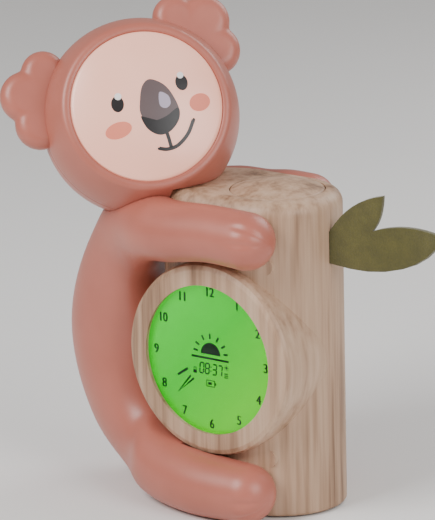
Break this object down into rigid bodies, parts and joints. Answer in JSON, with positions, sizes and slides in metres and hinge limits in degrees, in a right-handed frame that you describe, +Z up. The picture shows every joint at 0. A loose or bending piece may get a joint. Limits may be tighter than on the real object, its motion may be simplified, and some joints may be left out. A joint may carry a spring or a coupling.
{
  "type": "kids alarm clock with night light",
  "caption": "child's alarm clock: wood-look trunk housing with a round backlit display, hugged by a koala whose lit face is a night light",
  "frame": {"origin": "on the resting plane under the middle of the trunk's round end, where the base pad lies on the table", "axes": "+Z up, the display faces -Y, the koala is on the -X side and the leaf on the +X side"},
  "size_m": [0.1785, 0.0915, 0.1911],
  "materials": {
    "trunk_wood": "moulded plastic with a printed wood grain",
    "dark_plastic": "moulded black",
    "rubber_black": "matt",
    "steel": "zinc plated",
    "clear_lens": "clear acrylic",
    "display_green": "backlit green",
    "white_plastic": "white",
    "board_green": "solder mask",
    "cell_wrap": "shrink wrap",
    "koala_pink": "soft-touch paint",
    "face_glow": "translucent, lit from inside",
    "leaf_felt": "thick olive felt"
  },
  "bodies": {
    "housing": {"base_cover": "dark_plastic", "base_cover_screws": "steel", "base_pad": "rubber_black", "battery_cell": "cell_wrap", "battery_holder": "dark_plastic", "body_mount_screws": "steel", "body_seam_screws": "steel", "button_board": "board_green", "button_carrier": "dark_plastic", "button_spring": "steel", "button_switch": "dark_plastic", "carrier_screws": "steel", "clock_lens": "clear_lens", "display_board": "board_green", "display_frame": "dark_plastic", "display_leds": "white_plastic", "display_screws": "steel", "ear_left": "koala_pink", "ear_right": "koala_pink", "face_lens": "face_glow", "face_reflector": "white_plastic", "head_front_shell": "koala_pink", "head_rear_shell": "koala_pink", "head_screws": "steel", "key_board": "board_green", "key_board_screws": "steel", "key_switches": "dark_plastic", "koala_body_front": "koala_pink", "koala_body_rear": "koala_pink", "lcd_panel": "display_green", "leaf": "leaf_felt", "light_guide": "white_plastic", "main_board": "board_green", "main_board_chips": "dark_plastic", "main_board_screws": "steel", "neck_nut_lower": "dark_plastic", "neck_nut_upper": "dark_plastic", "neck_tube": "dark_plastic", "night_board_screws": "steel", "night_light_board": "board_green", "night_light_leds": "white_plastic", "reflector_screws": "steel", "shell_screws": "steel", "speaker": "dark_plastic", "speaker_clamp": "dark_plastic", "speaker_gasket": "rubber_black", "speaker_screws": "steel", "trunk_front_shell": "trunk_wood", "trunk_rear_shell": "trunk_wood", "usb_board": "board_green", "usb_socket": "steel"},
    "top_button": {"top_button": "trunk_wood", "button_plunger": "dark_plastic"},
    "key_down": {"key_down": "dark_plastic"},
    "key_mode": {"key_mode": "dark_plastic"},
    "key_up": {"key_up": "dark_plastic"},
    "key_set": {"key_set": "dark_plastic"}
  },
  "joints": [
    {"name": "top_button_press", "type": "slide", "parent": "housing", "child": "top_button", "axis": [0, 0, -1], "range_m": [0, 0.0015], "stiffness_N_per_m": 300, "springref_m": -0.001, "deforming": ["button_spring"]},
    {"name": "key_down_press", "type": "slide", "parent": "housing", "child": "key_down", "axis": [0, -1, 0], "range_m": [0, 0.0007], "stiffness_N_per_m": 300, "springref_m": -0.001},
    {"name": "key_mode_press", "type": "slide", "parent": "housing", "child": "key_mode", "axis": [0, -1, 0], "range_m": [0, 0.0007], "stiffness_N_per_m": 300, "springref_m": -0.001},
    {"name": "key_up_press", "type": "slide", "parent": "housing", "child": "key_up", "axis": [0, -1, 0], "range_m": [0, 0.0007], "stiffness_N_per_m": 300, "springref_m": -0.001},
    {"name": "key_set_press", "type": "slide", "parent": "housing", "child": "key_set", "axis": [0, -1, 0], "range_m": [0, 0.0007], "stiffness_N_per_m": 300, "springref_m": -0.001}
  ]
}
